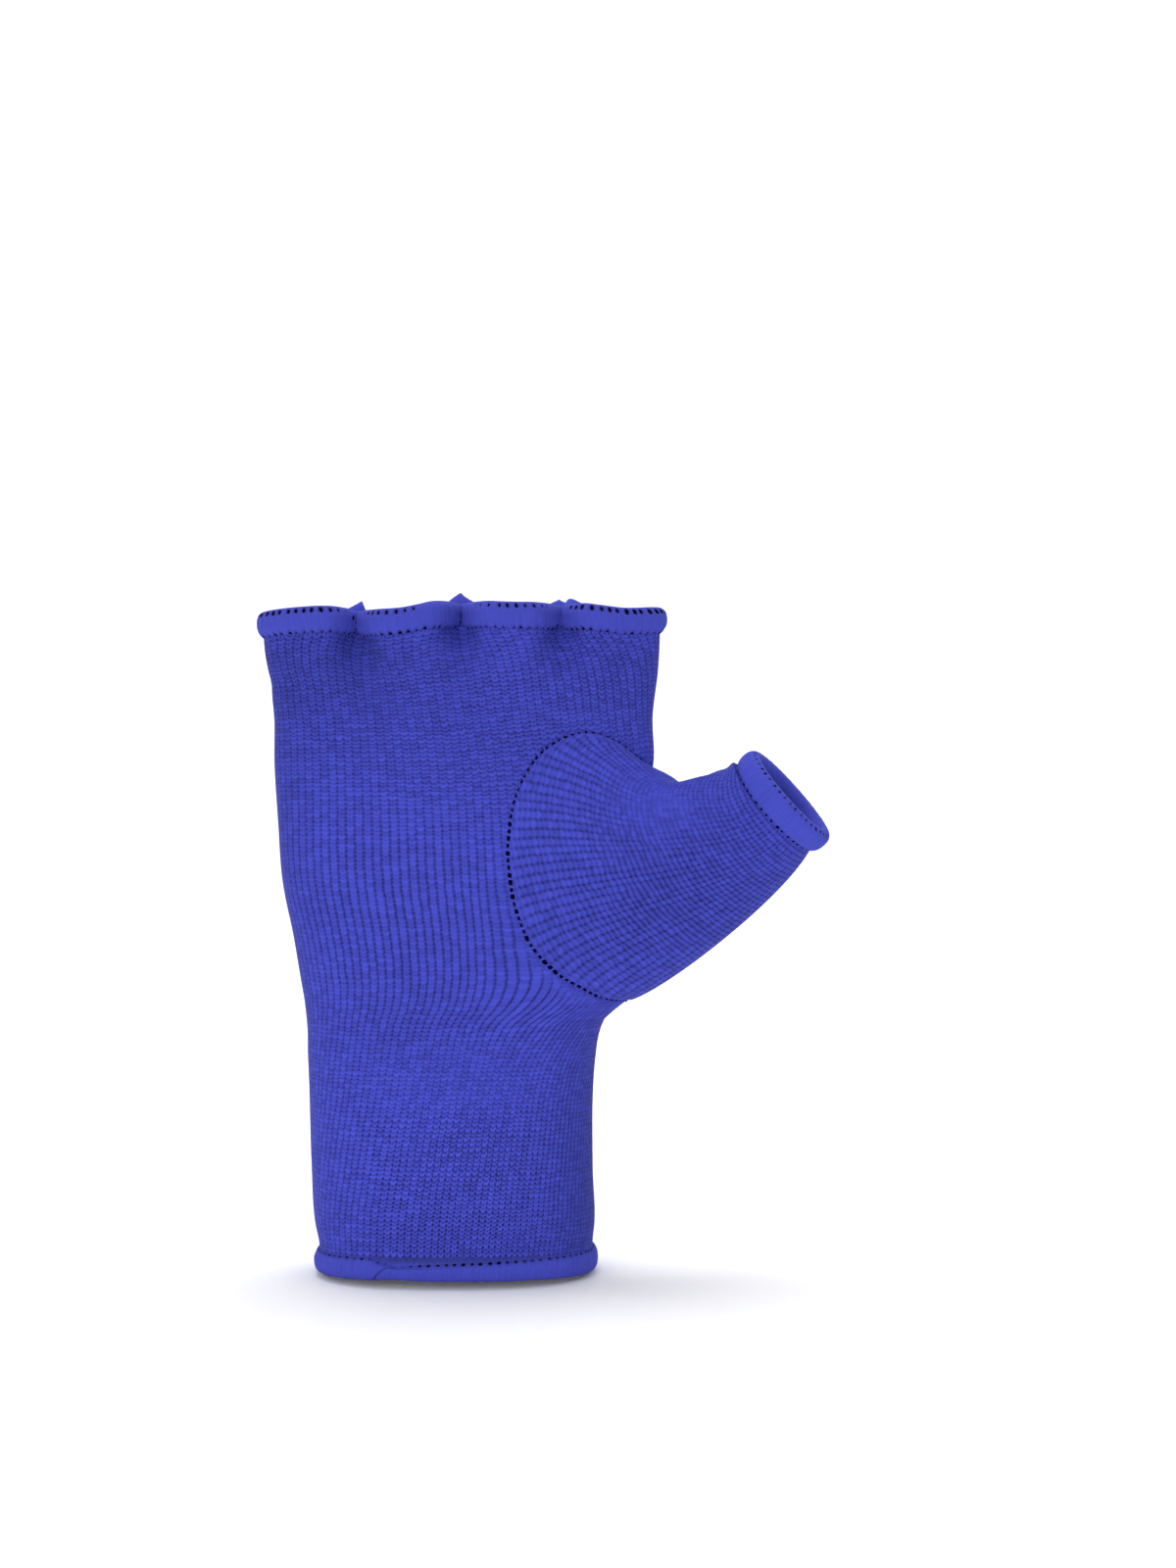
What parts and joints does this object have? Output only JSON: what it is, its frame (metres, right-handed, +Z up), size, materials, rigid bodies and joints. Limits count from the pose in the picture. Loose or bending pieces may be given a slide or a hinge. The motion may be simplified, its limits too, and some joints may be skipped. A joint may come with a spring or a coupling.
{
  "type": "boxing inner glove",
  "caption": "Knitted blue inner glove for boxing, right hand, fingerless, with a sewn-in thumb piece and bound openings.",
  "frame": {"origin": "centre of the cuff's opening, level with the binding's lower rim", "axes": "+Z up from the cuff to the finger openings, the palm faces -Y, the thumb points to +X"},
  "size_m": [0.1353, 0.0452, 0.1585],
  "materials": {
    "knit": "ribbed knit",
    "binding": "overlocked thread"
  },
  "bodies": {
    "root": {"knit_body": "knit", "thumb_stall": "knit", "finger_binding": "binding", "thumb_binding": "binding", "cuff_binding": "binding"}
  },
  "joints": []
}
